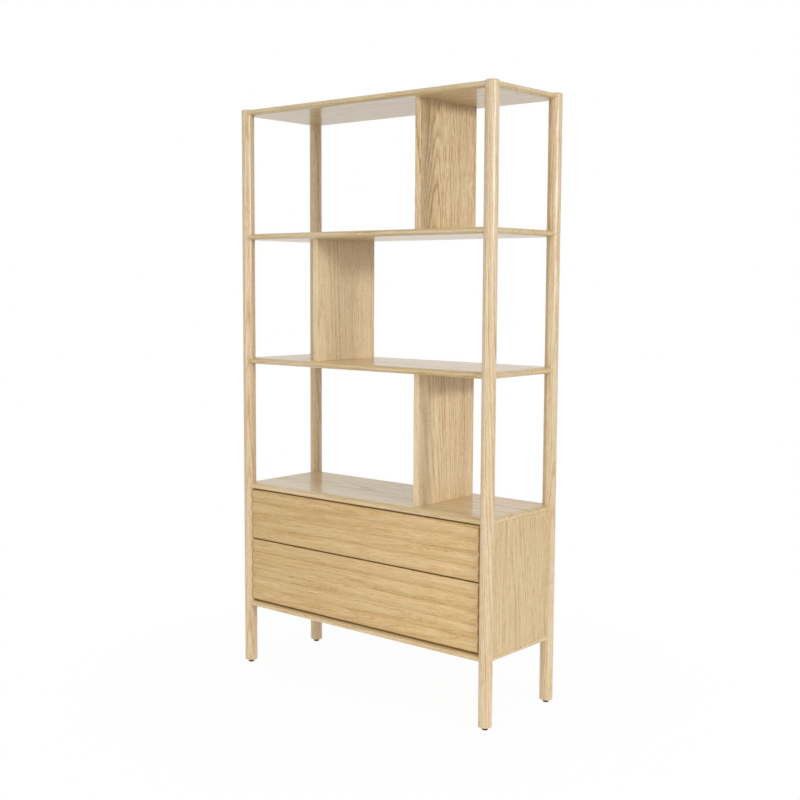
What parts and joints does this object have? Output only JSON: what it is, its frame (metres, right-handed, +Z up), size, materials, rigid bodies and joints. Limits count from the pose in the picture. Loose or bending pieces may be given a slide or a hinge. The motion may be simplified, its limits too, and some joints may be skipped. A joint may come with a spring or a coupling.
{
  "type": "bookcase with drawers",
  "caption": "Tall open bookcase of round posts and lens-edged boards, with staggered upright dividers and a closed base of wide ribbed drawers on runners and screw feet.",
  "frame": {"origin": "on the floor, at the centre of the footprint of the posts", "axes": "+X to the right seen from the front, +Y towards the back, +Z up"},
  "size_m": [1, 0.3498, 1.8],
  "materials": {
    "oak_post": "satin lacquered oak, grain along the post",
    "oak_board": "satin lacquered oak, grain along the board",
    "oak_upright": "satin lacquered oak, grain upright",
    "oak_front": "satin lacquered oak, grain across the front",
    "oak_back": "oak veneered panel",
    "drawer_box": "clear sealed birch",
    "dowel": "plain beech",
    "runner_steel": "zinc plated rolled steel",
    "zinc_steel": "zinc plated steel",
    "black_nylon": "matte black nylon"
  },
  "bodies": {
    "frame": {"post_front_left": "oak_post", "post_front_right": "oak_post", "post_rear_left": "oak_post", "post_rear_right": "oak_post", "base_board": "oak_board", "cabinet_top": "oak_board", "lower_shelf": "oak_board", "upper_shelf": "oak_board", "top_shelf": "oak_board", "top_divider": "oak_upright", "middle_divider": "oak_upright", "bottom_divider": "oak_upright", "cabinet_side_left": "oak_upright", "cabinet_side_right": "oak_upright", "cabinet_back": "oak_back", "corner_dowels": "dowel", "divider_dowels": "dowel", "side_dowels": "dowel", "foot_inserts": "zinc_steel", "upper_runner_packer_left": "drawer_box", "upper_runner_fixed_left": "runner_steel", "upper_runner_packer_right": "drawer_box", "upper_runner_fixed_right": "runner_steel", "lower_runner_packer_left": "drawer_box", "lower_runner_fixed_left": "runner_steel", "lower_runner_packer_right": "drawer_box", "lower_runner_fixed_right": "runner_steel"},
    "upper_drawer": {"upper_drawer_front": "oak_front", "upper_drawer_back": "drawer_box", "upper_drawer_side_left": "drawer_box", "upper_drawer_side_right": "drawer_box", "upper_drawer_bottom": "drawer_box", "upper_drawer_dowels": "dowel", "upper_runner_drawer_left": "runner_steel", "upper_runner_drawer_right": "runner_steel"},
    "upper_runner": {"upper_runner_middle_left": "runner_steel", "upper_runner_middle_right": "runner_steel"},
    "lower_drawer": {"lower_drawer_front": "oak_front", "lower_drawer_back": "drawer_box", "lower_drawer_side_left": "drawer_box", "lower_drawer_side_right": "drawer_box", "lower_drawer_bottom": "drawer_box", "lower_drawer_dowels": "dowel", "lower_runner_drawer_left": "runner_steel", "lower_runner_drawer_right": "runner_steel"},
    "lower_runner": {"lower_runner_middle_left": "runner_steel", "lower_runner_middle_right": "runner_steel"},
    "foot_front_left": {"foot_pad_front_left": "black_nylon", "foot_stud_front_left": "zinc_steel"},
    "foot_front_right": {"foot_pad_front_right": "black_nylon", "foot_stud_front_right": "zinc_steel"},
    "foot_rear_left": {"foot_pad_rear_left": "black_nylon", "foot_stud_rear_left": "zinc_steel"},
    "foot_rear_right": {"foot_pad_rear_right": "black_nylon", "foot_stud_rear_right": "zinc_steel"}
  },
  "joints": [
    {"name": "upper_drawer_slide", "type": "slide", "parent": "frame", "child": "upper_drawer", "axis": [0, -1, 0], "range_m": [0, 0.25]},
    {"name": "upper_runner_slide", "type": "slide", "parent": "frame", "child": "upper_runner", "axis": [0, -1, 0], "range_m": [0, 0.125]},
    {"name": "lower_drawer_slide", "type": "slide", "parent": "frame", "child": "lower_drawer", "axis": [0, -1, 0], "range_m": [0, 0.25]},
    {"name": "lower_runner_slide", "type": "slide", "parent": "frame", "child": "lower_runner", "axis": [0, -1, 0], "range_m": [0, 0.125]},
    {"name": "foot_front_left_screw", "type": "slide", "parent": "frame", "child": "foot_front_left", "axis": [0, 0, -1], "range_m": [0, 0.008]},
    {"name": "foot_front_right_screw", "type": "slide", "parent": "frame", "child": "foot_front_right", "axis": [0, 0, -1], "range_m": [0, 0.008]},
    {"name": "foot_rear_left_screw", "type": "slide", "parent": "frame", "child": "foot_rear_left", "axis": [0, 0, -1], "range_m": [0, 0.008]},
    {"name": "foot_rear_right_screw", "type": "slide", "parent": "frame", "child": "foot_rear_right", "axis": [0, 0, -1], "range_m": [0, 0.008]}
  ],
  "couplings": [
    {"joint": "upper_runner_slide", "follows": "upper_drawer_slide", "ratio": 0.5},
    {"joint": "lower_runner_slide", "follows": "lower_drawer_slide", "ratio": 0.5}
  ]
}
